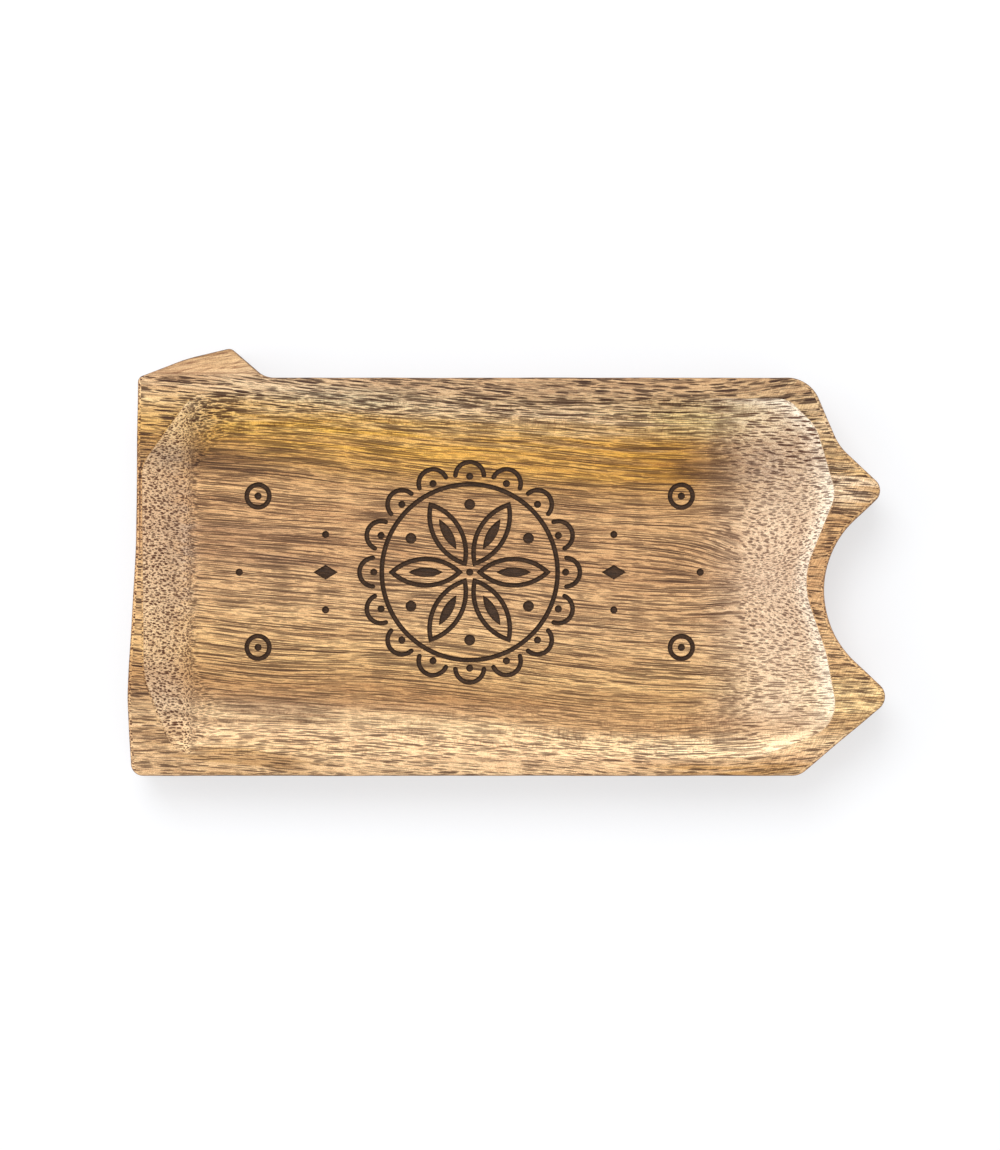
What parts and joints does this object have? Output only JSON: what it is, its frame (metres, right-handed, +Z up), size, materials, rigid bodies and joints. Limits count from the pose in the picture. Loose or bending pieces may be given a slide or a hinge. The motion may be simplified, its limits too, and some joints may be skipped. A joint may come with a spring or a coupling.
{
  "type": "trinket dish",
  "caption": "Small carved wooden trinket dish: shallow scooped pocket, flat rim, an ear on a long edge, a round notch between points at the end, and an engraved medallion.",
  "frame": {"origin": "middle of the bounding box's bottom, on the flat underside", "axes": "+X along the grain and the length, towards the notched end; +Y towards the long edge with the ear; +Z up, out of the pocket"},
  "size_m": [0.1198, 0.0678, 0.0127],
  "materials": {
    "oiled_hardwood": "satin oiled open-pored hardwood, mid brown with dark pores, the engraved lines burnt dark brown"
  },
  "bodies": {
    "root": {"carved_dish": "oiled_hardwood"}
  },
  "joints": []
}
